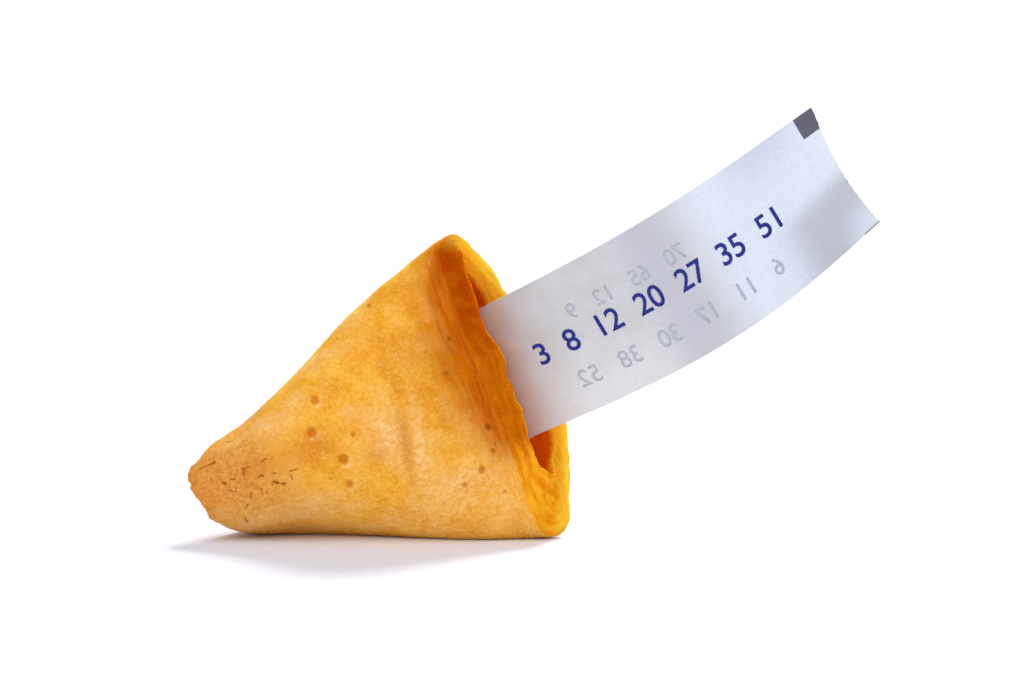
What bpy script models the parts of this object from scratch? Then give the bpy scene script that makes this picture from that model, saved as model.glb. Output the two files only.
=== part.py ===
"""Half of a fortune cookie, snapped at its middle crease, with its paper slip.

The cookie is one baked wafer disc folded over and bent. Each point of the flat
disc is carried to its folded place by a few curves: the fold line runs from the
blunt tip to the crease, and at every station along it the wafer turns from the
near face round one ridge and comes back to the seam on the far side.
Lengths in the constants are millimetres. The model is in metres, +Z up.
"""
import math

import bmesh
import bpy
from mathutils import Matrix, Vector

MM = 0.001

# ---- wafer ----
DISC_R = 32.0            # radius of the baked disc
WALL = 1.7               # thickness of the wafer
RIDGE_AT_CREASE = 15.7   # distance from fold line to ridge, at the crease
RIDGE_SHRINK = 8.8       # how it falls towards the tip, first power
RIDGE_TIP = 2.6          # and third power
SEAM_GAP = 1.5           # half the gap between the two rims, at the crease end
SEAM_GAP_TIP = 3.4       # half the gap near the tip
CREASE_TILT = 28.0       # slant of the snapped edge, degrees
LOWER_WIDE = 0.05        # the lower ridge stands a little wider at the crease
LOWER_TIP = 1.10         # and closer at the tip
LOWER_SAG = 0.14         # it sags between them, where the piece lies on it
UPPER_SWELL = 0.085      # the upper ridge swells a little
TIP_DROP = 0.1           # the tip droops
EDGE_REACH = 0.5         # the upper snapped edge lies this far past the crease
EDGE_FILL = 0.9          # and further at the middle of the near face
BREAK_WAVE = 0.28        # waviness of the snapped edge
NEAR_BOW = 0.9           # the near face bows out between tip and crease
CREASE_DIP = 0.8         # and dips just before the crease
ROWS, COLUMNS = 26, 60   # faces from crease to tip, and from rim to rim
STATIONS = 160           # steps along the fold line
STEPS = 120              # steps along one station

# ---- how the piece lies ----
PITCH = 22.0             # rise of the fold line
LEAN = 6.0               # the near face leans back
REST_FLAT = 0.95         # depth of the flat where it lies on the table

# ---- paper slip ----
SLIP_WIDTH = 13.6
SLIP_OUT = 40.0          # length standing out of the cookie
SLIP_IN = 17.0           # length inside
SLIP_THICK = 0.14
SLIP_RISE = 31.2         # slope of the slip
SLIP_SAG = 1.3           # it sags a little between its ends
SLIP_ROWS, SLIP_COLUMNS = 54, 8


def smooth(value, low, high):
    """Eased step from 0 at low to 1 at high."""
    t = min(1.0, max(0.0, (value - low) / (high - low)))
    return t * t * (3.0 - 2.0 * t)


def ridge_distance(k):
    return RIDGE_AT_CREASE - RIDGE_SHRINK * k - RIDGE_TIP * k ** 3


def turned(s, k, total):
    """Angle the wafer has turned after s millimetres of station k."""
    sharp = 1.1 + 9.5 * (1.0 - k) ** 3.2
    return total * (1.0 - math.exp(-((s / ridge_distance(k)) ** sharp)))


def rim_side(k, length, total):
    """Sideways place of the rim when the station turns by total."""
    step = length / STEPS
    side = 0.0
    for i in range(STEPS):
        side += math.cos(turned((i + 0.5) * step, k, total)) * step
    return side


def closing_turn(k, length):
    """Turn that brings the rim to its place beside the seam."""
    gap = SEAM_GAP + (SEAM_GAP_TIP - SEAM_GAP) * k ** 1.3
    low, high = math.radians(60.0), math.radians(175.0)
    for _ in range(28):
        middle = (low + high) / 2.0
        if rim_side(k, length, middle) > gap:
            low = middle
        else:
            high = middle
    share = min(1.0, max(0.0, (0.93 - k) / 0.35))
    free = math.radians(150.0 - 45.0 * k * k)
    return free * (1.0 - share) + low * share


def station(k):
    """Points (side, along, depth) from the fold line to the rim."""
    length = DISC_R * math.sqrt(max(1e-6, 1.0 - k * k))
    step = length / STEPS
    total = closing_turn(k, length)
    first = 12.0 + (CREASE_TILT - 12.0) * math.exp(-((k / 0.09) ** 2))
    last = CREASE_TILT - 18.0 * k
    side = along = depth = 0.0
    points = [(side, along, depth)]
    for i in range(STEPS):
        s = (i + 0.5) * step
        turn = turned(s, k, total)
        ease = smooth(s / length, 0.25, 0.85)
        tilt = math.radians(first + (last - first) * ease)
        side += math.cos(turn) * step
        along += math.sin(turn) * math.sin(tilt) * step
        depth += math.sin(turn) * math.cos(tilt) * step
        points.append((side, along, depth))
    return length, points


def face_depth(k):
    """Bow and dip of the near face along the fold line."""
    bow = NEAR_BOW * math.sin(math.pi * min(1.0, max(0.0, k))) ** 1.2
    dip = CREASE_DIP * math.exp(-(((k * DISC_R - 3.6) / 2.6) ** 2))
    return dip - bow - 0.25


def mixed(a, b, t):
    return [p + (q - p) * t for p, q in zip(a, b)]


def along_station(data, s):
    length, points = data
    place = min(1.0, s / length) * STEPS
    i = min(STEPS - 1, int(place))
    return mixed(points[i], points[i + 1], place - i)


def folded(x, y, stations):
    """Folded place of the flat disc point x, y (both over the disc radius)."""
    wave = math.sin(y * 9.0 + 0.6) + 0.6 * math.sin(y * 23.0 + 1.9)
    reach = EDGE_REACH * smooth(y, -0.2, 0.4)
    reach += EDGE_FILL * math.exp(-(((y - 0.06) / 0.28) ** 2))
    x = x + (BREAK_WAVE * wave - reach) / DISC_R * (1.0 - x) ** 6
    k = min(1.0, max(0.0, x))
    place = k * STATIONS
    i = min(STATIONS - 1, int(place))
    s = abs(y) * DISC_R
    low = along_station(stations[i], s)
    high = along_station(stations[i + 1], s)
    side, along, depth = mixed(low, high, place - i)
    if y < 0.0:
        end = LOWER_WIDE * (1.0 - k) ** 1.5 - LOWER_TIP * k ** 12
        side *= -(1.0 + end + LOWER_SAG * math.sin(math.pi * k ** 1.5))
    else:
        side *= 1.0 + UPPER_SWELL * math.sqrt(max(0.0, math.sin(math.pi * k)))
    side -= TIP_DROP * k ** 3
    return Vector((DISC_R * (1.0 - x) + along, depth + face_depth(x), side))


def lying():
    """Turn from the fold line's own axes to the way the piece lies."""
    lean = Matrix.Rotation(math.radians(-LEAN), 4, "X")
    pitch = Matrix.Rotation(math.radians(-PITCH), 4, "Y")
    return lean @ pitch


def material(name, colour, roughness):
    mat = bpy.data.materials.new(name)
    mat.use_nodes = True
    shader = mat.node_tree.nodes["Principled BSDF"]
    shader.inputs["Base Color"].default_value = (*colour, 1.0)
    shader.inputs["Roughness"].default_value = roughness
    shader.inputs["Metallic"].default_value = 0.0
    return mat


def grid_object(name, x_faces, y_faces, mat, collection):
    """A flat grid from 0 to 1 in X and -1 to 1 in Y, as an object."""
    mesh = bpy.data.meshes.new(name)
    sheet = bmesh.new()
    bmesh.ops.create_grid(sheet, x_segments=x_faces, y_segments=y_faces, size=1.0)
    for vert in sheet.verts:
        vert.co.x = (vert.co.x + 1.0) / 2.0
    sheet.to_mesh(mesh)
    sheet.free()
    mesh.materials.append(mat)
    obj = bpy.data.objects.new(name, mesh)
    collection.objects.link(obj)
    return obj


def thicken(obj, thickness):
    """Solidify both ways and keep the result as the object's mesh."""
    shell = obj.modifiers.new("Thickness", "SOLIDIFY")
    shell.thickness = thickness
    shell.offset = 0.0
    shell.use_even_offset = False
    bpy.context.view_layer.update()
    graph = bpy.context.evaluated_depsgraph_get()
    solid = bpy.data.meshes.new_from_object(obj.evaluated_get(graph))
    obj.modifiers.clear()
    obj.data = solid


def recalculate(obj):
    mesh = bmesh.new()
    mesh.from_mesh(obj.data)
    bmesh.ops.remove_doubles(mesh, verts=mesh.verts, dist=0.00002)
    bmesh.ops.recalc_face_normals(mesh, faces=mesh.faces)
    mesh.to_mesh(obj.data)
    mesh.free()


def make_cookie(collection):
    stations = [station(i / STATIONS) for i in range(STATIONS + 1)]
    baked = material("baked_wafer", (0.80, 0.42, 0.12), 0.55)
    cookie = grid_object("cookie", ROWS, COLUMNS, baked, collection)
    turn = lying()
    for vert in cookie.data.vertices:
        p, q = vert.co.x, vert.co.y
        x = p * math.sqrt(1.0 - q * q / 2.0)
        y = q * math.sqrt(1.0 - p * p / 2.0)
        vert.co = turn @ folded(x, y, stations) * MM
    thicken(cookie, WALL * MM)
    floor = min(v.co.z for v in cookie.data.vertices) + REST_FLAT * MM
    for vert in cookie.data.vertices:
        vert.co.z = max(vert.co.z, floor)
    recalculate(cookie)
    return cookie, floor


def slip_point(along, across):
    """Place of a slip point: along from the mouth, across from the middle."""
    out = max(0.0, along) / SLIP_OUT
    back = max(0.0, -along) / SLIP_IN
    sway = SLIP_SAG * (across / SLIP_WIDTH * 0.66 - 1.0) * math.sin(math.pi * out)
    slope = math.radians(SLIP_RISE)
    x = along * math.cos(slope) - (across + sway) * math.sin(slope)
    z = along * math.sin(slope) + (across + sway) * math.cos(slope)
    y = 2.6 * back ** 1.3 - 1.6 * out * (1.0 - out) * 4.0 * math.sin(3.0 * out)
    corner = max(0.0, out - 0.62) / 0.38 * max(0.0, 0.5 - across / SLIP_WIDTH)
    y += 4.2 * corner ** 1.6 + math.sin(math.radians(LEAN)) * across
    return Vector((x, y, z))


def make_slip(collection):
    paper = material("paper", (0.80, 0.78, 0.84), 0.8)
    slip = grid_object("slip", SLIP_ROWS, SLIP_COLUMNS, paper, collection)
    mouth = lying() @ Vector((DISC_R + 0.3, 2.35, 0.9))
    for vert in slip.data.vertices:
        along = vert.co.x * (SLIP_IN + SLIP_OUT) - SLIP_IN
        across = vert.co.y * SLIP_WIDTH / 2.0
        vert.co = (mouth + slip_point(along, across)) * MM
    thicken(slip, SLIP_THICK * MM)
    recalculate(slip)
    return slip


def main():
    for obj in list(bpy.data.objects):
        bpy.data.objects.remove(obj, do_unlink=True)
    collection = bpy.data.collections.new("fortune_cookie")
    bpy.context.scene.collection.children.link(collection)
    cookie, floor = make_cookie(collection)
    slip = make_slip(collection)
    corners = [v.co for o in (cookie, slip) for v in o.data.vertices]
    middle_x = (min(c.x for c in corners) + max(c.x for c in corners)) / 2.0
    middle_y = (min(c.y for c in corners) + max(c.y for c in corners)) / 2.0
    shift = Matrix.Translation((-middle_x, -middle_y, -floor))
    base = bpy.data.objects.new("fortune_cookie", None)
    collection.objects.link(base)
    for obj in (cookie, slip):
        obj.data.transform(shift)
        obj.parent = base


main()
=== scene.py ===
"""Looks of half a fortune cookie with its paper slip.

The wafer is a round sheet, baked flat, folded over and bent while hot, and later
snapped at its middle crease. The sheet is modelled flat, with its pits, cracks
and toasted grain, and then folded. A flat place has two numbers: u, its distance
from the crease, and v, its height over the fold line. Its layer runs from -1 at
the inner skin to 1 at the outer skin. Lengths are millimetres, in the
constants and in all the folding.
"""
import math

import bpy
import numpy as np
from mathutils import Matrix, Vector

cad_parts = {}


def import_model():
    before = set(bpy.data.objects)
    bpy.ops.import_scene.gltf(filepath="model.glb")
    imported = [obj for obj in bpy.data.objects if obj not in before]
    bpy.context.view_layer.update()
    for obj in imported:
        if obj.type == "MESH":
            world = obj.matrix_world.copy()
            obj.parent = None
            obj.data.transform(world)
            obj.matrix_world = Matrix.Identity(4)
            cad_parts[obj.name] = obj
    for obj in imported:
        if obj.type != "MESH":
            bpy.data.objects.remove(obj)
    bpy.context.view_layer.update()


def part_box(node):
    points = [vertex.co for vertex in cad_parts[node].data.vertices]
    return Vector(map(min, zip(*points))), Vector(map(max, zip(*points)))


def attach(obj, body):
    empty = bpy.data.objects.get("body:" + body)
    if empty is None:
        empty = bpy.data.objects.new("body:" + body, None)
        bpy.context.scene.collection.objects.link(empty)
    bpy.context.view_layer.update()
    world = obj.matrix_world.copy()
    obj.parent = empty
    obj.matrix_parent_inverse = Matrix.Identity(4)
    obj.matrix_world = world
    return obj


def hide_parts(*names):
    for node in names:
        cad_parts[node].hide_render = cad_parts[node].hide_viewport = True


MM = 0.001

# ---- wafer, as it is folded ----
DISC_R = 32.0            # radius of the baked disc
WALL = 1.7               # thickness of the wafer
RIDGE_AT_CREASE = 15.7   # distance from fold line to ridge, at the crease
RIDGE_SHRINK = 8.8       # how it falls towards the tip, first power
RIDGE_TIP = 2.6          # and third power
SOFT_TURN = 1.1          # how sharply the ridge turns at the tip
SHARP_TURN = 9.5         # and how much more sharply at the crease
SEAM_GAP = 1.5           # half the gap between the two rims, at the crease end
SEAM_GAP_TIP = 3.4       # half the gap near the tip
LEAST_TURN = 60.0        # a station turns at least this much, degrees
MOST_TURN = 175.0        # and at most this much
OPEN_TURN = 150.0        # its turn where the rims stay apart
OPEN_TURN_FALL = 45.0    # and how that falls towards the tip
CREASE_TILT = 28.0       # slant of the snapped edge, degrees
FACE_TILT = 12.0         # slant of the near face just behind it
TILT_FALL = 18.0         # how the slant falls towards the tip
LOWER_WIDE = 0.05        # the lower ridge stands a little wider at the crease
LOWER_TIP = 0.85         # and closer at the tip
LOWER_SAG = 0.14         # it sags between them, where the piece lies on it
UPPER_SWELL = 0.085      # the upper ridge swells a little
TIP_DROP = 0.1           # the tip droops
EDGE_REACH = 0.5         # the upper snapped edge lies this far past the crease
EDGE_FILL = 0.9          # and further at the middle of the near face
BREAK_WAVE = 0.28        # waviness of the snapped edge
NEAR_BOW = 0.9           # the near face bows out between tip and crease
CREASE_DIP = 0.8         # and dips just before the crease
FACE_BACK = 0.25         # it lies this far back all over
STATIONS = 160           # steps along the fold line
STEPS = 120              # steps along one station
PITCH = 22.0             # rise of the fold line, degrees
LEAN = 6.0               # the near face leans back, degrees
TABLE_GAP = 0.05         # the wafer's underside stays this far over the table
PRESS_SOFT = 0.006       # how softly it is pressed flat there
NEAR_ARCH = 1.0          # its near lower edge arches between tip and crease

# ---- wafer, as it is modelled ----
ROWS = 176               # faces of the sheet from crease to tip
COLUMNS = 228            # and across
RIM_CUTS = 15            # cuts across the thickness of its edges
SLOPE_STEP = 0.25        # step by which the slope of the folded sheet is taken
RIM_INSET = 0.8          # the fold is followed to this far from the rim
NEAR_BREAK = 1.9         # how far the outer skin is broken back on the near face
FAR_BREAK = 1.3          # and the inner skin on the far side
LAYERS = 0.03, 0.04      # roughness of its layers, and more towards the bottom
CRUMBS = 0.035, 0.045    # of its crumbs, in the same way
CHIPS = 0.025, 0.035     # and of its larger chips
NEAR_SIDE = 13.5, 17.5   # heights over which the near side passes to the far side
CORNER_AT = -15.5        # height of the mouth's tight lower corner
CORNER_FILL = 4.4        # its inner skin is pinched up by this much
CORNER_SHIFT = 0.12      # and moved inwards by this share of that
TIP_GRAIN = 20.0, 28.0   # distances from the crease over which the tip turns grainy
BURR = 0.14              # height of the larger burrs on the baked rim
RIM_ROUND = 0.45         # the rim is rounded over by this much
MANY = 30                # waves in a fine random field

# ---- pits and cracks ----
SMALL_PITS = 120         # small pits, scattered by chance
SIDE_PITS_FROM = 13.0    # height from which they are larger
PIT_LIP = 0.2            # height of a pit's raised lip, as a share of its depth
PIT_SHADOW = 0.15        # the pit's painted shade is shifted up and towards the tip by this share of its radius
SMALL_CRACKS = 14        # short cracks, scattered by chance
SMALL_CRACK_DEEP = 0.04
CRACK_WIDE = 0.12

# ---- soft fold down the near face ----
SOFT_FOLD_AT = 10.4      # its distance from the crease
SOFT_FOLD_SLANT = 0.25   # it comes closer to the crease higher up
SOFT_FOLD_MIDDLE = -1.6  # height of its middle
SOFT_FOLD_DEEP = 0.24
SOFT_FOLD_LIP = 0.20     # height of the swelling beside it

# ---- paper slip ----
SLIP_WIDTH = 13.6
SLIP_OUT = 40.0          # length standing out of the cookie
SLIP_IN = 17.0           # length inside
SLIP_THICK = 0.12
SLIP_RISE = 31.2         # slope of the slip, degrees
SLIP_SAG = 1.3           # it sags a little between its ends
SLIP_SINK = 2.6          # its inner end lies this far back
SLIP_BELLY = 6.4         # it bulges forward between its ends
CORNER_LIFT = 4.2        # its lower right corner is lifted back
END_HOLLOW = 0.75        # its outer end is torn in a hollow curve
PAPER_ROWS = 300         # faces along the slip
PAPER_COLUMNS = 72       # and across
PRINT_GAP = 0.015        # the print stands this far off the paper
PRINT_THICK = 0.006

# ---- studio, in metres ----
FLOOR_SIZE = 6.0
FLOOR_COLOUR = (0.86, 0.88, 0.93, 1.0)
SKY_COLOUR = (0.93, 0.93, 1.0, 1.0)
SKY_STRENGTH = 0.52
# name, side it shines from, angle in degrees, power and colour
SUNS = (
    ("key_behind", (11.0, 33.0, 29.0), 20.0, 3.1, (1.0, 0.99, 0.97)),
    ("top_front", (-6.0, -15.0, 24.0), 85.0, 1.19, (0.98, 0.97, 1.0)),
    ("low_front", (-4.0, -30.0, 3.5), 20.0, 0.46, (1.0, 0.97, 0.94)),
)
SENSOR_MM = 36.0
LENS_MM = 176.7
CAMERA_RISE = 6.0        # degrees over the table
CAMERA_AWAY = 0.5
CAMERA_TARGET = (-0.0023, 0.0, 0.0188)


def smooth(value, low, high):
    """Eased step from 0 at low to 1 at high."""
    t = np.clip((value - low) / (high - low), 0.0, 1.0)
    return t * t * (3.0 - 2.0 * t)


def hump(distance, width):
    """A soft hump that is 1 where the distance is 0."""
    return np.exp(-((distance / width) ** 2))


def field(places, size, seed, waves=20):
    """A smooth random field over the places, about -1 to 1, with humps of this size.

    Each use has a seed of its own.
    """
    pick = np.random.default_rng(seed)
    total = np.zeros(len(places))
    for _ in range(waves):
        way = pick.normal(size=places.shape[1])
        way *= pick.uniform(0.6, 1.4) * math.pi / size / np.linalg.norm(way)
        total += np.sin(places @ way + pick.uniform(0.0, 2.0 * math.pi))
    return total / math.sqrt(waves)


# ---------------------------------------------------------------- folding

def ridge_distance(k):
    return RIDGE_AT_CREASE - RIDGE_SHRINK * k - RIDGE_TIP * k ** 3


def turned(s, k, total):
    """Angle the wafer has turned after s millimetres of station k."""
    sharp = SOFT_TURN + SHARP_TURN * (1.0 - k) ** 3.2
    return total * (1.0 - np.exp(-((s / ridge_distance(k)) ** sharp)))


def closing_turn(k, length, s):
    """Turn that brings the rim to its place beside the seam."""
    gap = SEAM_GAP + (SEAM_GAP_TIP - SEAM_GAP) * k ** 1.3
    low, high = math.radians(LEAST_TURN), math.radians(MOST_TURN)
    for _ in range(28):
        middle = (low + high) / 2.0
        if np.cos(turned(s, k, middle)).mean() * length > gap:
            low = middle
        else:
            high = middle
    share = min(1.0, max(0.0, (0.93 - k) / 0.35))
    free = math.radians(OPEN_TURN - OPEN_TURN_FALL * k * k)
    return free * (1.0 - share) + low * share


def station(k):
    """Length, and points (side, along, depth) from the fold line to the rim."""
    length = DISC_R * math.sqrt(max(1e-6, 1.0 - k * k))
    step = length / STEPS
    s = (np.arange(STEPS) + 0.5) * step
    turn = turned(s, k, closing_turn(k, length, s))
    first = FACE_TILT + (CREASE_TILT - FACE_TILT) * math.exp(-((k / 0.09) ** 2))
    last = CREASE_TILT - TILT_FALL * k
    tilt = np.radians(first + (last - first) * smooth(s / length, 0.25, 0.85))
    legs = np.stack([np.cos(turn), np.sin(turn) * np.sin(tilt), np.sin(turn) * np.cos(tilt)], 1)
    return length, np.vstack([np.zeros((1, 3)), np.cumsum(legs * step, 0)])


def face_depth(x):
    """Bow and dip of the near face along the fold line."""
    bow = NEAR_BOW * np.sin(math.pi * np.clip(x, 0.0, 1.0)) ** 1.2
    dip = CREASE_DIP * hump(x * DISC_R - 3.6, 2.6)
    return dip - bow - FACE_BACK


def between(length, s):
    """Step and share of a step at s millimetres from the fold line."""
    at = np.clip(s / length, 0.0, 1.0) * STEPS
    i = np.minimum(STEPS - 1, at.astype(int))
    return i, (at - i)[:, None]


def folded(u, v, made):
    """Folded places of flat places u, v."""
    x, y = u / DISC_R, v / DISC_R
    length = np.array([one[0] for one in made])
    points = np.stack([one[1] for one in made])
    wave = np.sin(y * 9.0 + 0.6) + 0.6 * np.sin(y * 23.0 + 1.9)
    reach = EDGE_REACH * smooth(y, -0.2, 0.4) + EDGE_FILL * hump(y - 0.06, 0.28)
    x = x + (BREAK_WAVE * wave - reach) / DISC_R * (1.0 - x) ** 6
    k = np.clip(x, 0.0, 1.0)
    row = np.minimum(STATIONS - 1, (k * STATIONS).astype(int))
    t = (k * STATIONS - row)[:, None]
    ends = []
    for r in (row, row + 1):
        i, share = between(length[r], np.abs(v))
        ends.append(points[r, i] * (1.0 - share) + points[r, i + 1] * share)
    side, along, depth = (ends[0] * (1.0 - t) + ends[1] * t).T
    lower = 1.0 + LOWER_WIDE * (1.0 - k) ** 1.5 - LOWER_TIP * k ** 12
    lower = lower + LOWER_SAG * np.sin(math.pi * k ** 1.5)
    upper = 1.0 + UPPER_SWELL * np.sqrt(np.maximum(0.0, np.sin(math.pi * k)))
    side = np.where(y < 0.0, -side * lower, side * upper) - TIP_DROP * k ** 3
    return np.stack([DISC_R * (1.0 - x) + along, depth + face_depth(x), side], 1)


def folded_slab(u, v, height):
    """Folded places of points that lie height off the middle of the wafer."""
    made = [station(i / STATIONS) for i in range(STATIONS + 1)]
    step = SLOPE_STEP
    radius = np.maximum(step * 2.0, np.hypot(u, v))
    inward = np.minimum(1.0, (DISC_R - RIM_INSET) / radius)
    a, b = u * inward, v * inward
    along = folded(a + step, b, made) - folded(a - step, b, made)
    across = folded(a, b + step, made) - folded(a, b - step, made)
    facing = np.cross(across, along)
    facing /= np.linalg.norm(facing, axis=1)[:, None]
    spot = folded(a, b, made)
    back = 1.0 - step / (radius * inward)
    past = radius * (1.0 - inward) / step
    spot += (spot - folded(a * back, b * back, made)) * past[:, None]
    return (spot + facing * height[:, None]) @ lying().T


def lying():
    """Turn from the fold line's own axes to the way the piece lies."""
    lean = Matrix.Rotation(math.radians(-LEAN), 4, "X")
    pitch = Matrix.Rotation(math.radians(-PITCH), 4, "Y")
    return np.array((lean @ pitch).to_3x3())


# ---------------------------------------------------------------- mesh helpers

def coordinates(obj):
    flat = np.empty(len(obj.data.vertices) * 3)
    obj.data.vertices.foreach_get("co", flat)
    return flat.reshape(-1, 3)


def place(obj, points):
    obj.data.vertices.foreach_set("co", points.astype(np.float32).ravel())
    obj.data.update()


def note(obj, name, values):
    """Keep three values for each vertex under a name."""
    kept = obj.data.attributes.new(name, "FLOAT_VECTOR", "POINT")
    kept.data.foreach_set("vector", values.astype(np.float32).ravel())


def only(obj):
    """Make this the one selected and active object."""
    bpy.ops.object.select_all(action="DESELECT")
    obj.select_set(True)
    bpy.context.view_layer.objects.active = obj


def sheet(name, rows, columns):
    """A flat grid from 0 to 1 in X and -1 to 1 in Y."""
    bpy.ops.object.select_all(action="DESELECT")
    bpy.ops.mesh.primitive_grid_add(x_subdivisions=rows, y_subdivisions=columns, size=2.0)
    obj = bpy.context.object
    obj.name = name
    points = coordinates(obj)
    points[:, 0] = (points[:, 0] + 1.0) / 2.0
    place(obj, points)
    return obj


def thicken(obj, thickness):
    only(obj)
    shell = obj.modifiers.new("Thickness", "SOLIDIFY")
    shell.thickness = thickness
    shell.offset = 0.0
    shell.use_even_offset = False
    bpy.ops.object.modifier_apply(modifier=shell.name)


def cut_rim(obj, cuts):
    """Cut the edges that cross the thickness, so that the rim can be shaped."""
    only(obj)
    level = coordinates(obj)[:, 2]
    ends = np.empty(len(obj.data.edges) * 2, dtype=np.int32)
    obj.data.edges.foreach_get("vertices", ends)
    ends = ends.reshape(-1, 2)
    crossing = level[ends[:, 0]] * level[ends[:, 1]] < 0.0
    bpy.ops.object.mode_set(mode="EDIT")
    bpy.ops.mesh.select_all(action="DESELECT")
    bpy.ops.mesh.select_mode(type="EDGE")
    bpy.ops.object.mode_set(mode="OBJECT")
    obj.data.edges.foreach_set("select", crossing)
    bpy.ops.object.mode_set(mode="EDIT")
    bpy.ops.mesh.subdivide(number_cuts=cuts, smoothness=0.0, quadcorner="INNERVERT")
    bpy.ops.object.mode_set(mode="OBJECT")


def finished(obj, mat, node=None):
    obj.data.materials.clear()
    obj.data.materials.append(mat)
    only(obj)
    bpy.ops.object.shade_smooth()
    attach(obj, "root")
    if node:
        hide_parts(node)


# ---------------------------------------------------------------- shader helper

class Wire:
    """A socket in a material. Sums of wires add Math nodes."""

    def __init__(self, finish, socket):
        self.finish = finish
        self.socket = socket

    def _math(self, operation, first, second):
        settings = {"operation": operation}
        return self.finish.node("ShaderNodeMath", settings, [first, second])

    def __add__(self, other):
        return self._math("ADD", self, other)

    __radd__ = __add__

    def __mul__(self, other):
        return self._math("MULTIPLY", self, other)

    __rmul__ = __mul__

    def __sub__(self, other):
        return self._math("SUBTRACT", self, other)

    def __rsub__(self, other):
        return self._math("SUBTRACT", other, self)

    def __pow__(self, other):
        return self._math("POWER", self, other)

    def at_most(self, other):
        return self._math("MINIMUM", self, other)

    def size(self):
        return self._math("ABSOLUTE", self, 0.0)

    def ramp(self, low, high):
        """Eased step from 0 at low to 1 at high."""
        settings = {"interpolation_type": "SMOOTHSTEP"}
        return self.finish.node("ShaderNodeMapRange", settings, [self, low, high, 0.0, 1.0])


class Finish:
    """A material whose nodes are added by expressions."""

    def __init__(self, name):
        self.material = bpy.data.materials.new(name)
        self.material.use_nodes = True
        self.tree = self.material.node_tree
        self.shader = self.tree.nodes["Principled BSDF"]

    def node(self, kind, settings, sockets):
        """Add a node: its settings first, then the values or wires of its sockets."""
        made = self.tree.nodes.new(kind)
        for name, value in settings.items():
            setattr(made, name, value)
        named = sockets.items() if isinstance(sockets, dict) else enumerate(sockets)
        for key, value in named:
            self.feed(made.inputs[key], value)
        return Wire(self, made.outputs[0])

    def feed(self, target, value):
        if isinstance(value, Wire):
            self.tree.links.new(value.socket, target)
        else:
            target.default_value = value

    def surface(self, varying, steady):
        """Feed the shader: what changes over the surface, and what stays the same."""
        for name, value in varying.items():
            self.feed(self.shader.inputs[name], value)
        for name, value in steady.items():
            self.shader.inputs[name].default_value = value

    def noise(self, where, scale, detail, roughness, stretch=None):
        if stretch:
            where = self.node("ShaderNodeMapping", {}, {"Vector": where, "Scale": stretch})
        sockets = {"Vector": where, "Scale": scale, "Detail": detail, "Roughness": roughness}
        return self.node("ShaderNodeTexNoise", {"normalize": True}, sockets)

    def mix(self, share, first, second):
        """Blend of two colours, each a wire or the colour as it shows."""
        ends = [end if isinstance(end, Wire) else shown(end) for end in (first, second)]
        sockets = {0: share, 6: ends[0], 7: ends[1]}
        settings = {"data_type": "RGBA", "clamp_factor": True}
        made = self.node("ShaderNodeMix", settings, sockets)
        return Wire(self, made.socket.node.outputs[2])

    def kept(self, name):
        """The three values kept under a name, as wires and as one vector."""
        made = self.node("ShaderNodeAttribute", {"attribute_name": name}, {})
        vector = Wire(self, made.socket.node.outputs["Vector"])
        parts = self.node("ShaderNodeSeparateXYZ", {}, [vector]).socket.node
        return [Wire(self, out) for out in parts.outputs], vector

    def bump(self, height, distance, strength):
        sockets = {"Height": height, "Distance": distance, "Strength": strength}
        return self.node("ShaderNodeBump", {}, sockets)


def shown(colour):
    """A colour given as it shows, 0 to 255, turned to light values."""
    def lit(value):
        value /= 255.0
        if value <= 0.04045:
            return value / 12.92
        return ((value + 0.055) / 1.055) ** 2.4
    return (*(lit(value) for value in colour), 1.0)


# ---------------------------------------------------------------- wafer

# Pits left by burst bubbles: u, v, radius and depth.
PITS = (
    (17.3, 4.9, 0.42, 0.30), (16.1, 3.8, 0.20, 0.15), (18.7, 2.4, 0.45, 0.34),
    (15.1, 0.9, 0.26, 0.14), (16.8, -0.8, 0.46, 0.34), (17.2, -2.9, 0.38, 0.28),
    (17.3, 0.7, 0.18, 0.14), (16.2, 1.8, 0.18, 0.14), (2.5, -3.1, 0.40, 0.32),
    (5.2, -6.5, 0.38, 0.30), (7.1, -7.1, 0.26, 0.22), (3.4, -9.2, 0.24, 0.20),
    (3.1, -5.4, 0.30, 0.14), (2.9, 5.9, 0.30, 0.18), (5.0, 2.9, 0.24, 0.12),
    (6.0, 5.5, 0.24, 0.10), (9.3, 11.3, 0.30, 0.15),
)

# Cracks at the fold's end: u, v, direction in degrees, length and depth.
CRACKS = (
    (29.6, 3.3, 5.0, 1.8, 0.10), (26.1, 1.7, -10.0, 0.8, 0.08),
    (26.4, 1.3, 60.0, 0.5, 0.07), (24.1, 1.7, 18.0, 0.6, 0.07),
    (25.0, 0.5, 10.0, 0.6, 0.07), (21.8, 0.1, -2.0, 0.8, 0.07),
    (23.4, -0.7, -17.0, 1.0, 0.07), (24.2, -0.3, 30.0, 0.4, 0.06),
    (27.7, 1.2, 13.0, 0.5, 0.07), (27.9, 0.4, 38.0, 0.5, 0.07),
    (26.6, -0.7, 40.0, 0.7, 0.07), (28.7, 1.1, -30.0, 0.4, 0.06),
    (28.1, -2.5, 75.0, 0.8, 0.06),
)
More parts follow.
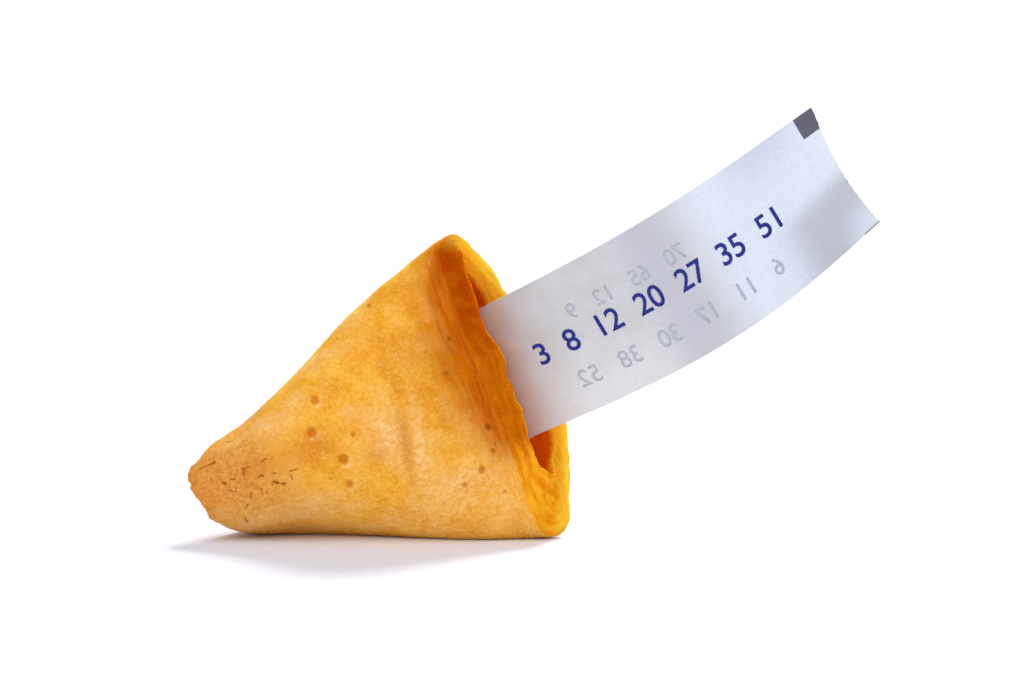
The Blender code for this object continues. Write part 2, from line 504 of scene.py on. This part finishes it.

# Pale glaze with painted highlights on mounds: u, v, half width, half height and strength.
GLAZE_AND_HIGHLIGHT_PATCHES = (
    (11.9, 0.0, 1.7, 1.9, 0.9), (7.9, -6.4, 2.4, 1.0, 0.6), (5.6, -7.6, 2.4, 1.2, 0.45),
    (22.8, 4.3, 2.4, 1.1, 0.9), (14.6, 2.6, 0.9, 0.8, 0.5), (19.6, 5.4, 1.6, 1.0, 0.6),
    (27.2, 4.6, 1.8, 0.7, 0.8), (28.2, -3.6, 2.6, 1.6, 0.9), (15.5, 8.6, 4.0, 0.8, 0.6),
    (11.5, 11.0, 2.0, 1.2, 0.6), (20.5, -5.2, 3.6, 0.9, 0.4), (30.6, -1.4, 1.6, 1.1, 0.8),
    (26.4, -3.0, 2.2, 1.0, 0.5), (23.2, -4.3, 2.2, 1.1, 0.7), (20.4, -3.0, 2.6, 1.2, 0.35),
    (4.6, -11.0, 2.4, 1.8, 0.2), (15.2, -7.9, 4.5, 1.0, 0.3), (3.6, -6.0, 0.9, 1.6, 0.3),
)

# Darker, warmer patches, in the same way: mostly painted shade in dips and low down, partly
# darker skin.
SHADE = (
    (9.7, 3.6, 0.5, 2.2, 0.4), (19.5, 1.2, 2.6, 1.6, 0.7), (8.0, 6.2, 2.6, 2.2, 0.35),
    (25.6, 1.2, 2.2, 1.6, 0.6), (6.2, 0.4, 2.2, 2.6, 0.3), (13.8, -1.6, 1.2, 0.8, 0.4),
    (15.6, 5.6, 1.4, 1.2, 0.4), (10.4, 8.2, 1.4, 1.4, 0.3), (6.4, 11.4, 2.8, 2.2, 0.4),
    (30.2, 1.5, 2.2, 3.4, 0.35), (10.2, -12.0, 3.6, 1.2, 0.5),
)

# Mounds and a dent that the bending left in the skin: u, v, half width, half
# height and rise.
MOUNDS = (
    (12.0, -0.1, 1.4, 1.9, 0.20), (22.4, 4.8, 2.6, 1.0, 0.16), (25.8, 7.4, 2.2, 2.4, -0.35),
)


def spots(u, v, places):
    """Sum of soft spots, each given by its u, v, half width, half height and strength."""
    total = np.zeros(len(u))
    for u0, v0, wide, high, strength in places:
        total += strength * hump(u - u0, wide) * hump(v - v0, high)
    return total


def patches(u, v, flat, places, seed):
    """Strength of a list of patches at flat places, with ragged outlines."""
    u = u + 0.35 * field(flat, 1.8, seed) + 0.12 * field(flat, 0.6, seed + 1)
    v = v + 0.35 * field(flat, 1.8, seed + 2) + 0.12 * field(flat, 0.6, seed + 3)
    return np.clip(spots(u, v, places), 0.0, 1.0)


def scattered_pits():
    """Small pits all over the sheet, larger towards its two sides."""
    pick = np.random.default_rng(11)
    small = []
    for _ in range(SMALL_PITS):
        r = DISC_R * math.sqrt(pick.uniform(0.0, 1.0))
        a = pick.uniform(-math.pi / 2.0, math.pi / 2.0)
        size = pick.uniform(0.12, 0.20)
        if abs(math.sin(a) * r) > SIDE_PITS_FROM:
            size *= 1.9
        small.append((math.cos(a) * r, math.sin(a) * r, size, size * 0.5))
    return small


def pitted(u, v):
    """Depth of the pits at flat places, nearness to their painted shade, and the painted
    highlight on their lit lower lips.
    """
    depth = np.zeros(len(u))
    close = np.zeros(len(u))
    lip_highlight = np.zeros(len(u))
    for u0, v0, radius, deep in list(PITS) + scattered_pits():
        far = np.hypot(u - u0, v - v0) / radius
        depth -= deep * np.exp(-(far ** 4.0))
        depth += PIT_LIP * deep * hump(far - 1.45, 0.35)
        aside = PIT_SHADOW * radius
        off = np.hypot(u - u0 - aside, v - v0 - aside) / radius
        close = np.maximum(close, np.clip(2.0 - off, 0.0, 1.6) / 1.6 * min(1.0, radius / 0.25))
        below = np.clip((v0 - v + 0.4 * (u0 - u)) / (radius * np.maximum(far, 0.1)), 0.0, 1.0)
        if radius > 0.3:
            lip_highlight = np.maximum(lip_highlight, below * hump(far - 1.35, 0.4))
    return depth, close, lip_highlight


def scattered_cracks():
    """Short, shallow cracks between the larger ones."""
    pick = np.random.default_rng(29)
    return [(pick.uniform(22.0, 29.5), pick.uniform(-1.6, 3.2), pick.uniform(-40.0, 60.0),
             pick.uniform(0.15, 0.40), SMALL_CRACK_DEEP) for _ in range(SMALL_CRACKS)]


def cracked(u, v):
    """Depth of the cracks at flat places, and nearness to them."""
    depth = np.zeros(len(u))
    close = np.zeros(len(u))
    wander = 0.12 * field(np.stack([u, v], 1), 0.6, 21)
    for u0, v0, angle, length, deep in list(CRACKS) + scattered_cracks():
        c, s = math.cos(math.radians(angle)), math.sin(math.radians(angle))
        along = -(u - u0) * c + (v - v0) * s
        across = (u - u0) * s + (v - v0) * c + wander
        past = np.maximum(0.0, np.abs(along) - 0.5 * length)
        far = np.hypot(across, past * 1.5)
        depth -= 0.6 * deep * hump(far, CRACK_WIDE)
        close = np.maximum(close, np.clip(1.0 - far / 0.4, 0.0, 1.0) * min(1.0, 0.65 + length))
    return depth, close


def fold_line(u, v):
    """Distance from the soft fold that runs down the near face."""
    return u - SOFT_FOLD_AT + SOFT_FOLD_SLANT * v


def creased(u, v):
    """Soft folds and mounds that the bending left in the near face."""
    fold = fold_line(u, v)
    deep = SOFT_FOLD_LIP * hump(fold + 1.2, 0.8) - SOFT_FOLD_DEEP * hump(fold, 0.62)
    deep *= hump(v - SOFT_FOLD_MIDDLE, 4.2)
    second = v - 3.2 - 0.1 * (u - 22.0)
    deep -= 0.12 * hump(second, 0.9) * hump(u - 22.0, 3.0)
    low = v + 6.6 + 0.3 * (u - 8.0)
    deep += 0.10 * hump(low, 0.9) * hump(u - 7.6, 3.0)
    return deep + spots(u, v, MOUNDS)


def skin(u, v, flat):
    """Relief of the outer skin, nearness to pits and to cracks, and the painted highlight on lit
    pit lips.
    """
    tip = smooth(u, *TIP_GRAIN)
    pits, near_pit, lip_highlight = pitted(u, v)
    cracks, near_crack = cracked(u, v)
    height = 0.10 * field(flat, 6.0, 1) + 0.028 * field(flat, 2.0, 2)
    height += (0.012 + 0.022 * tip) * field(flat, 0.55, 3, MANY)
    height += 0.03 * tip * field(flat, 1.3, 4, MANY)
    height += pits + cracks + creased(u, v)
    return height, near_pit, near_crack, lip_highlight


def broken_back(u, v, layer, near):
    """The snapped edge: one skin broken further back, in layers, with crumbs."""
    low = smooth(-v, -3.0, 5.0)
    at_crease = smooth(-u, -1.0, 0.0)
    far_break = FAR_BREAK * (1.0 - 0.5 * smooth(-v, 0.0, 4.0))
    back = NEAR_BREAK * near * ((1.0 + layer) / 2.0) ** 1.3
    back += far_break * (1.0 - near) * ((1.0 - layer) / 2.0) ** 0.8
    back += 0.20 * field(np.stack([v, layer * 0.4], 1), 3.5, 14)
    through = np.stack([v / 8.0, layer * WALL / 2.0], 1)
    layers = (LAYERS[0] + LAYERS[1] * near * low) * field(through, 0.26, 11, MANY)
    chips = np.stack([v, layer * 1.5], 1)
    crumbs = (CRUMBS[0] + CRUMBS[1] * low) * field(chips, 0.6, 12, MANY)
    back += (layers + crumbs) * at_crease
    back += (CHIPS[0] + CHIPS[1] * low) * field(chips, 1.1, 13)
    return back * np.maximum(0.0, 1.0 - u / 5.0) ** 2


def rim_growth(u, v, layer, to_rim):
    """The baked rim: blunt at the fold's end, rounded over, with small burrs."""
    at_rim = (1.0 - smooth(to_rim, 0.0, 0.8)) * (1.0 - smooth(-u, -1.0, 0.0))
    around = np.stack([np.arctan2(v, u) * DISC_R, layer * WALL / 2.0], 1)
    blunt = 0.65 * hump(v - 4.8, 2.0) - 0.8 * hump(v + 1.0, 1.9)
    blunt *= smooth(u, 20.0, 26.0) * (1.0 - smooth(to_rim, 0.0, 7.0))
    burr = 0.07 * field(around, 0.8, 9) + 0.08 * field(around, 0.4, 10, MANY)
    burr += BURR * np.maximum(0.0, field(around, 0.5, 15, MANY) - 1.0)
    burr -= RIM_ROUND * (1.0 - np.sqrt(np.maximum(0.0, 1.0 - layer * layer)))
    return 1.0 + (at_rim * burr + blunt) / DISC_R


def glaze_highlight_shade(u, v, flat, lip_highlight):
    """Strength of the glaze with painted highlights, and of the painted shade."""
    fold = fold_line(u, v)
    middle = v - SOFT_FOLD_MIDDLE
    # painted shade along the bottom, under the lower ridge
    under_ridge_shade = 1.35 * hump(v + ridge_distance(u / DISC_R) + 0.9, 1.7)
    shade = patches(u, v, flat, SHADE, 51)
    shade = np.maximum(shade, under_ridge_shade * (1.0 - smooth(u, 18.0, 25.0)))
    # painted shade in the soft fold
    shade = np.maximum(shade, 0.75 * hump(fold, 0.55) * hump(middle, 3.2))
    glaze_and_highlight = np.maximum(patches(u, v, flat, GLAZE_AND_HIGHLIGHT_PATCHES, 61), lip_highlight)
    # painted highlight on the swelling beside the fold
    glaze_and_highlight = np.maximum(glaze_and_highlight, 0.85 * hump(fold + 1.35, 0.7) * hump(middle, 4.2))
    return glaze_and_highlight, shade


def shaped(wafer, u, v, layer):
    """Folded places of the wafer, with its broken edge, baked rim and relief."""
    flat = np.stack([u, v], 1)
    outer = smooth(layer, 0.5, 1.0)
    inner = smooth(-layer, 0.5, 1.0)
    rim = (np.abs(layer) < 0.99).astype(float)
    near = 1.0 - smooth(np.abs(v), *NEAR_SIDE)
    to_rim = DISC_R - np.hypot(u, v)

    height, near_pit, near_crack, lip_highlight = skin(u, v, flat)
    glaze_and_highlight, shade = glaze_highlight_shade(u, v, flat, lip_highlight)
    note(wafer, "marks", np.stack([outer * near_pit, outer * near_crack, rim], 1))
    note(wafer, "glaze_highlight_shade", np.stack([glaze_and_highlight, shade, near], 1))

    corner = hump(v - CORNER_AT, np.where(v < CORNER_AT, 7.0, 5.6)) * np.exp(-u / 4.0)
    inside = 0.10 * field(flat, 4.0, 5) + 0.04 * field(flat, 1.2, 6) + 0.25 * corner
    taper = 0.5 + 0.5 * smooth(to_rim, 0.0, 2.5)
    thick = layer * WALL / 2.0 * taper + outer * height + inner * inside
    growth = rim_growth(u, v, layer, to_rim)
    pushed = u + broken_back(u, v, layer, near)
    points = folded_slab(pushed * growth, v * growth, thick)
    raised = CORNER_FILL * corner * ((1.0 - layer) / 2.0) ** 1.5
    points[:, 2] += raised
    points[:, 0] -= CORNER_SHIFT * raised
    return points


def rest(wafer, bare):
    """Set the wafer where its node lies, and press it flat where it meets the table."""
    low, high = np.array(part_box("cookie")) / MM
    shift = high - bare.max(0)
    shift[1] = (low[1] + high[1] - bare[:, 1].min() - bare[:, 1].max()) / 2.0
    points = coordinates(wafer) + shift
    x, y, z = points.T
    arch = smooth(-x, 6.0, 17.0) * (1.0 - smooth(-x, 22.0, 29.5))
    z = z + NEAR_ARCH * arch * smooth(-y, 0.0, 8.0) * (1.0 - smooth(z, 0.5, 6.5))
    points[:, 2] = TABLE_GAP + (z + np.sqrt(z * z + PRESS_SOFT)) / 2.0
    place(wafer, points * MM)


def make_wafer(mat):
    """A half disc, thickened, cut across its edges, given relief and folded."""
    wafer = sheet("cookie_wafer", ROWS, COLUMNS)
    p, q, level = coordinates(wafer).T
    q = q * (0.72 + 0.28 * q * q)
    u, v = p * np.sqrt(1.0 - q * q / 2.0), q * np.sqrt(1.0 - p * p / 2.0)
    place(wafer, np.stack([u * DISC_R, v * DISC_R, level], 1))
    thicken(wafer, WALL)
    cut_rim(wafer, RIM_CUTS)
    points = coordinates(wafer)
    u, v = points[:, 0], points[:, 1]
    layer = np.clip(-points[:, 2] / (WALL / 2.0), -1.0, 1.0)
    note(wafer, "wafer", np.stack([u, v, layer], 1))
    bare = folded_slab(u, v, layer * WALL / 2.0)
    place(wafer, shaped(wafer, u, v, layer))
    rest(wafer, bare)
    finished(wafer, mat, "cookie")


# Colours as they show. A pair is a darker and a lighter tone of one thing.
GOLDEN = (236, 165, 38), (247, 186, 62)
PEACH = (243, 183, 94), (252, 208, 138)
TOASTED = (189, 112, 29), (243, 182, 94)
SHADED = (196, 104, 26)
DEEP_ORANGE_AND_SHADE = (180, 80, 1), (202, 107, 6)
FLECK_DARK, FLECK_LIGHT = (202, 118, 24), (255, 212, 134)
HOOD = (216, 120, 0)
HOLLOW, HOLLOW_DEEP = (206, 110, 6), (158, 72, 2)
CRACK = (152, 68, 0)
LINING = (222, 130, 34), (238, 158, 56)
LINING_MOUTH_SHADE, LINING_EDGE_GLOW = (228, 92, 0), (250, 176, 30)
CRUMB = (226, 134, 12), (244, 176, 36)
CRUMB_SHADED = (184, 92, 2), (202, 112, 8)
CRUMB_TOP_SHADED, CRUMB_SPOT = (174, 70, 1), (226, 142, 28)
CRUMB_FAR_GLOW = (255, 182, 24), (255, 214, 70)
CRUMB_FAR_INNER = (228, 136, 14)
BROWNED = (178, 104, 42)


def lining_colour(f, u, near, mottle):
    """Colour of the inner skin: redder near the mouth as painted cavity shade, and bright at the
    far snapped edge as a painted glow of light shining through.
    """
    depths = f.mix(mottle.ramp(0.3, 0.7), *LINING)
    lining = f.mix(u.ramp(4.0, 11.0), LINING_MOUTH_SHADE, depths)
    return f.mix(u.ramp(0.9, 0.1) * (1.0 - near), lining, LINING_EDGE_GLOW)


def crumb_colour(f, v, layer, near, mottle, strands):
    """Colour of the snapped edge: darker higher up on the near side as painted shade, lighter at
    the far side as a painted glow of light shining through.
    """
    bright = f.mix(strands.ramp(0.38, 0.62), *CRUMB)
    shaded_crumb = f.mix(strands.ramp(0.34, 0.66), *CRUMB_SHADED)
    shaded_crumb = f.mix(v.ramp(0.0, 9.0), shaded_crumb, CRUMB_TOP_SHADED)
    crumb = f.mix(v.ramp(-8.5, -4.5) * v.ramp(18.0, 15.0), bright, shaded_crumb)
    crumb = f.mix(mottle.ramp(0.45, 0.65) * 0.16, crumb, CRUMB_SPOT)
    # painted glow of light shining through the far wall
    far = f.mix(strands.ramp(0.3, 0.7), *CRUMB_FAR_GLOW)
    far = f.mix(layer.ramp(0.6, -0.6) * 0.7, far, CRUMB_FAR_INNER)
    return f.mix(1.0 - near, crumb, far)


def baked_finish():
    """Golden wafer: browned at the tip, deep orange beside the crease, with painted highlights,
    shade and glow.
    """
    f = Finish("baked_wafer")
    (u, v, layer), where = f.kept("wafer")
    (pit, crack, rim), _ = f.kept("marks")
    (glaze_and_highlight, shade, near), _ = f.kept("glaze_highlight_shade")
    broad = f.noise(where, 0.13, 2.0, 0.5)
    mottle = f.noise(where, 0.55, 3.0, 0.55)
    grain = f.noise(where, 2.6, 3.0, 0.6)
    fine = f.noise(where, 5.0, 2.0, 0.5)
    leather = f.noise(where, 2.1, 2.0, 0.5, (0.8, 1.2, 1.0))
    strands = f.noise(where, 1.5, 4.0, 0.6, (0.8, 0.2, 2.2))

    # golden skin with pale glaze and painted highlights, toasted at the tip
    golden = f.mix(mottle.ramp(0.3, 0.7), *GOLDEN)
    peach = f.mix(leather.ramp(0.34, 0.66), *PEACH)
    glaze_and_light = glaze_and_highlight * 0.85 + (broad * 0.6 + mottle * 0.4).ramp(0.46, 0.62) * 0.3
    # paler low down, as painted light on the lower face
    glaze_and_light = (glaze_and_light + v.ramp(-5.0, -10.0) * 0.15).at_most(1.0)
    colour = f.mix(glaze_and_light, golden, peach)
    tip = (u + mottle * 3.0).ramp(21.0, 28.0)
    toasted = f.mix((grain * 0.6 + fine * 0.4).ramp(0.34, 0.64), *TOASTED)
    colour = f.mix(tip * (0.9 - glaze_and_highlight * 0.5), colour, toasted)
    # painted shade: darker, warmer patches, the soft fold and under the lower ridge
    colour = f.mix(shade * 0.62, colour, SHADED)

    # deep orange, streaked, beside the snapped edge: the crease's denser skin with painted shade
    # where the face turns in from the light
    high = v - 3.0
    deep = (u + high * high * 0.026 + mottle * 1.6 - 0.8).ramp(8.6, 2.5)
    deep = deep * v.ramp(17.0, 13.5) * v.ramp(-9.0, -4.0)
    plain = 1.0 - deep
    colour = f.mix(deep * 0.95, colour, f.mix(strands.ramp(0.35, 0.65), *DEEP_ORANGE_AND_SHADE))
    hood = v.ramp(13.5, 16.0) * v.ramp(19.5, 17.5) * u.ramp(3.5, 1.0)

    # flecks, pits and cracks
    flecks = grain * 0.5 + fine * 0.5
    dark_flecks = flecks.ramp(0.50, 0.59) * plain * 0.24
    light_flecks = flecks.ramp(0.48, 0.40) * plain * (0.18 - tip * 0.10)
    colour = f.mix(dark_flecks, colour, FLECK_DARK)
    colour = f.mix(light_flecks, colour, FLECK_LIGHT)
    colour = f.mix(hood * 0.8, colour, HOOD)
    # pits: the hollow's colour, shifted upwards as painted shade
    hollow = f.mix(deep, HOLLOW, HOLLOW_DEEP)
    colour = f.mix(pit.ramp(0.42, 0.90) * 0.62, colour, hollow)
    colour = f.mix(crack.ramp(0.60, 0.92) * 0.85, colour, CRACK)

    # the inner skin, the snapped edge and the browned rim, with painted shade and glow
    inside = (0.0 - layer).ramp(0.5, 1.0)
    colour = f.mix(inside, colour, lining_colour(f, u, near, mottle))
    snapped = rim * u.ramp(1.6, 0.2)
    colour = f.mix(snapped, colour, crumb_colour(f, v, layer, near, mottle, strands))
    reach = (u * u + v * v) ** 0.5 + mottle * 2.4
    browned = (rim + reach.ramp(30.2, 33.2) * 0.7).at_most(1.0) * u.ramp(0.4, 1.6)
    browned = browned * (0.75 - tip * 0.4) * (1.0 - glaze_and_highlight * 0.6)
    colour = f.mix(browned, colour, BROWNED)

    gloss = plain * (0.06 + glaze_and_highlight * 0.24) * (1.0 - rim) * (1.0 - inside)
    f.surface(
        {"Base Color": colour, "Roughness": grain * 0.2 + 0.4, "Coat Weight": gloss,
         "Normal": f.bump(leather + grain * 0.3, 0.00040, 0.8)},
        {"Coat Roughness": 0.35, "Specular IOR Level": 0.0, "Subsurface Weight": 0.35,
         "Subsurface Radius": (1.0, 0.45, 0.12), "Subsurface Scale": 0.0018})
    return f.material


# ---------------------------------------------------------------- slip

def slip_places(along, across):
    """Places of slip points: along from the mouth, across from the middle."""
    out = np.maximum(0.0, along) / SLIP_OUT
    back = np.maximum(0.0, -along) / SLIP_IN
    sway = SLIP_SAG * (across / SLIP_WIDTH * 0.66 - 1.0) * np.sin(math.pi * out)
    slope = math.radians(SLIP_RISE)
    x = along * math.cos(slope) - (across + sway) * math.sin(slope)
    z = along * math.sin(slope) + (across + sway) * math.cos(slope)
    y = SLIP_SINK * back ** 1.3 - SLIP_BELLY * out * (1.0 - out) * np.sin(3.0 * out)
    corner = np.maximum(0.0, out - 0.62) / 0.38 * np.maximum(0.0, 0.5 - across / SLIP_WIDTH)
    y = y + CORNER_LIFT * corner ** 1.6 + math.sin(math.radians(LEAN)) * across
    return np.stack([x, y, z], 1)


def slip_shift():
    """Move from the slip's own places to where its node is, in millimetres."""
    low, high = np.array(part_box("slip")) / MM
    rows, columns = 55, 9
    along = np.repeat(np.linspace(-SLIP_IN, SLIP_OUT, rows), columns)
    across = np.tile(np.linspace(-SLIP_WIDTH / 2.0, SLIP_WIDTH / 2.0, columns), rows)
    points = slip_places(along, across)
    return (low + high - points.min(0) - points.max(0)) / 2.0


def paper_places(along, across, height):
    """Places on the slip, with its slight waves, that lie height in front of it."""
    flat = np.stack([along, across], 1)
    wave = 0.07 * field(flat, 6.0, 32) + 0.018 * field(flat, 1.6, 33)
    points = slip_places(along, across) + slip_shift()
    corner = np.maximum(0.0, 0.61 * (along - 28.5) - 0.79 * (across + 6.8))
    points[:, 1] += wave - height + 0.10 * corner ** 1.3
    return points * MM


def make_slip(mat):
    """A strip of paper, torn at its outer end."""
    slip = sheet("paper_slip", PAPER_ROWS, PAPER_COLUMNS)
    points = coordinates(slip)
    along = points[:, 0] * (SLIP_IN + SLIP_OUT) - SLIP_IN
    across = points[:, 1] * SLIP_WIDTH / 2.0
    hollow = 1.0 - (across / SLIP_WIDTH * 2.0) ** 2
    torn = END_HOLLOW * hollow + 0.025 * field(across[:, None], 0.35, 31)
    pulled = along - torn * smooth(along, SLIP_OUT - 3.0, SLIP_OUT)
    place(slip, paper_places(pulled, across, 0.0))
    note(slip, "paper", np.stack([pulled, across, np.zeros(len(along))], 1))
    thicken(slip, SLIP_THICK * MM)
    finished(slip, mat, "slip")
    slip.visible_shadow = False  # thin paper lets nearly all of this strong light by


PAPER = (187, 188, 186), (193, 194, 196)
PAPER_LIT_LOW, PAPER_SHADE_BAND, PAPER_LIT_END = (204, 204, 204), (181, 182, 188), (205, 211, 219)
PAPER_EDGE_SHADE, PAPER_CURL_SHADE, FIBRE = (186, 191, 203), (181, 184, 190), (170, 170, 180)
OIL_AND_SHADE_WIDE, OIL_AND_SHADE_DEEP = (160, 118, 88), (156, 114, 84)
CORNER_BLOCK, CORNER_LINE = (98, 98, 108), (96, 96, 104)
NAVY_INK, BACK_PRINT = (36, 44, 128), (176, 177, 188)


def paper_finish():
    """White paper with painted light and shade, oily and shaded near the cookie, with a grey
    square and line at its corners.
    """
    f = Finish("slip_paper")
    (along, across, _), where = f.kept("paper")
    fibre = f.noise(where, 3.0, 5.0, 0.7, (0.5, 1.6, 1.0))
    cloud = f.noise(where, 0.35, 2.0, 0.5)

    # painted light and shade along its length, where the bent paper turns to and from the light
    colour = f.mix(cloud.ramp(0.3, 0.7), *PAPER)
    colour = f.mix(across.ramp(1.0, -6.0) * along.ramp(22.0, 10.0), colour, PAPER_LIT_LOW)
    colour = f.mix((along - 19.0).size().ramp(4.5, 0.5) * 0.8, colour, PAPER_SHADE_BAND)
    colour = f.mix(along.ramp(20.5, 27.0), colour, PAPER_LIT_END)
    upper = across.ramp(2.0, 6.8) * (along - 33.0).size().ramp(6.0, 1.0)
    colour = f.mix(upper * 0.6, colour, PAPER_EDGE_SHADE)

    # painted shade on the lifted lower right corner
    below = along * 0.14 - across - 5.8
    curl_shade = below.ramp(-1.3, 1.2) * along.ramp(29.0, 34.0)
    reach = (along - 39.5) * (along - 39.5) + (across + 6.8) * (across + 6.8)
    colour = f.mix(curl_shade * (reach ** 0.5).ramp(0.5, 4.5), colour, PAPER_CURL_SHADE)

    # fibres, oil from the cookie with painted shade near its mouth, and the plain marks at the
    # corners
    colour = f.mix(fibre.ramp(0.35, 0.70) * 0.25, colour, FIBRE)
    inward = along - across * 0.16 + cloud
    colour = f.mix(inward.ramp(8.5, 1.5) * 0.42, colour, OIL_AND_SHADE_WIDE)
    colour = f.mix(inward.ramp(4.5, 1.5) * 0.42, colour, OIL_AND_SHADE_DEEP)
    block = (along - 38.75).size().ramp(1.12, 1.06) * (across - 5.7).size().ramp(1.12, 1.06)
    colour = f.mix(block, colour, CORNER_BLOCK)
    line = (along - 39.0).size().ramp(1.02, 0.98) * (across + 6.72).size().ramp(0.07, 0.05)
    colour = f.mix(line, colour, CORNER_LINE)

    f.surface(
        {"Base Color": colour, "Normal": f.bump(fibre, 0.00008, 0.7)},
        {"Roughness": 0.8, "Specular IOR Level": 0.1, "Subsurface Weight": 0.7,
         "Subsurface Radius": (1.0, 1.0, 1.0), "Subsurface Scale": 0.0003})
    return f.material


def print_row(name, words, length, start, across, heavy, mirrored, mat):
    """A row of plain numbers printed on the slip."""
    bpy.ops.object.select_all(action="DESELECT")
    bpy.ops.object.text_add()
    row = bpy.context.object
    row.name = name
    row.data.body = words
    row.data.resolution_u = 6
    row.data.extrude = 0.002  # only tells front from back; the print gets its own thickness
    row.data.offset = heavy
    bpy.ops.object.convert(target="MESH")
    row = bpy.context.object
    bpy.ops.object.mode_set(mode="EDIT")
    bpy.ops.mesh.select_all(action="SELECT")
    bpy.ops.mesh.remove_doubles(threshold=0.0001)
    bpy.ops.object.mode_set(mode="OBJECT")
    points = coordinates(row)
    points *= length / (points[:, 0].max() - points[:, 0].min())
    points[:, 0] -= points[:, 0].min()
    if mirrored:
        points[:, 0] = length - points[:, 0]
    front = SLIP_THICK / 2.0 + PRINT_GAP + PRINT_THICK * (points[:, 2] > 0.0)
    place(row, paper_places(start + points[:, 0], across + points[:, 1], front))
    if mirrored:
        row.data.flip_normals()
    finished(row, mat)


def ink_finish(name, colour):
    f = Finish(name)
    f.surface({}, {"Base Color": shown(colour), "Roughness": 0.6, "Specular IOR Level": 0.2})
    return f.material


# ---------------------------------------------------------------- studio

def make_floor():
    bpy.ops.object.select_all(action="DESELECT")
    bpy.ops.mesh.primitive_plane_add(size=FLOOR_SIZE)
    floor = bpy.context.object
    floor.name = "floor"
    f = Finish("white_table")
    f.surface({}, {"Base Color": FLOOR_COLOUR, "Roughness": 0.6, "Specular IOR Level": 0.2})
    floor.data.materials.append(f.material)


def make_light():
    """Pale surroundings and three lamps."""
    world = bpy.data.worlds.new("studio")
    world.use_nodes = True
    back = world.node_tree.nodes["Background"]
    back.inputs["Color"].default_value = SKY_COLOUR
    back.inputs["Strength"].default_value = SKY_STRENGTH
    bpy.context.scene.world = world
    for name, toward, angle, power, colour in SUNS:
        lamp = bpy.data.lights.new(name, "SUN")
        lamp.angle = math.radians(angle)
        lamp.energy = power
        lamp.color = colour
        obj = bpy.data.objects.new(name, lamp)
        obj.rotation_euler = Vector(toward).to_track_quat("Z", "Y").to_euler()
        bpy.context.scene.collection.objects.link(obj)


def make_camera():
    """A long lens, almost level with the table."""
    cam = bpy.data.cameras.new("camera")
    cam.sensor_width = SENSOR_MM
    cam.lens = LENS_MM
    obj = bpy.data.objects.new("camera", cam)
    rise = math.radians(CAMERA_RISE)
    back = Vector((0.0, -math.cos(rise), math.sin(rise)))
    obj.location = Vector(CAMERA_TARGET) + back * CAMERA_AWAY
    obj.rotation_euler = (-back).to_track_quat("-Z", "Y").to_euler()
    bpy.context.scene.collection.objects.link(obj)
    bpy.context.scene.camera = obj


def main():
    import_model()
    make_wafer(baked_finish())
    make_slip(paper_finish())
    navy = ink_finish("navy_ink", NAVY_INK)
    ghost = ink_finish("back_print", BACK_PRINT)
    print_row("numbers", "3  8  12  20  27  35  51", 27.4, 4.2, -0.8, 0.012, False, navy)
    print_row("numbers_behind", "6   11   17   30   38   52", 23.0, 6.6, -4.4, 0.004, True, ghost)
    print_row("numbers_behind_high", "70   65   12   9", 13.0, 9.0, 1.9, 0.004, True, ghost)
    make_floor()
    make_light()
    make_camera()
    bpy.context.scene.view_settings.view_transform = "Standard"


main()
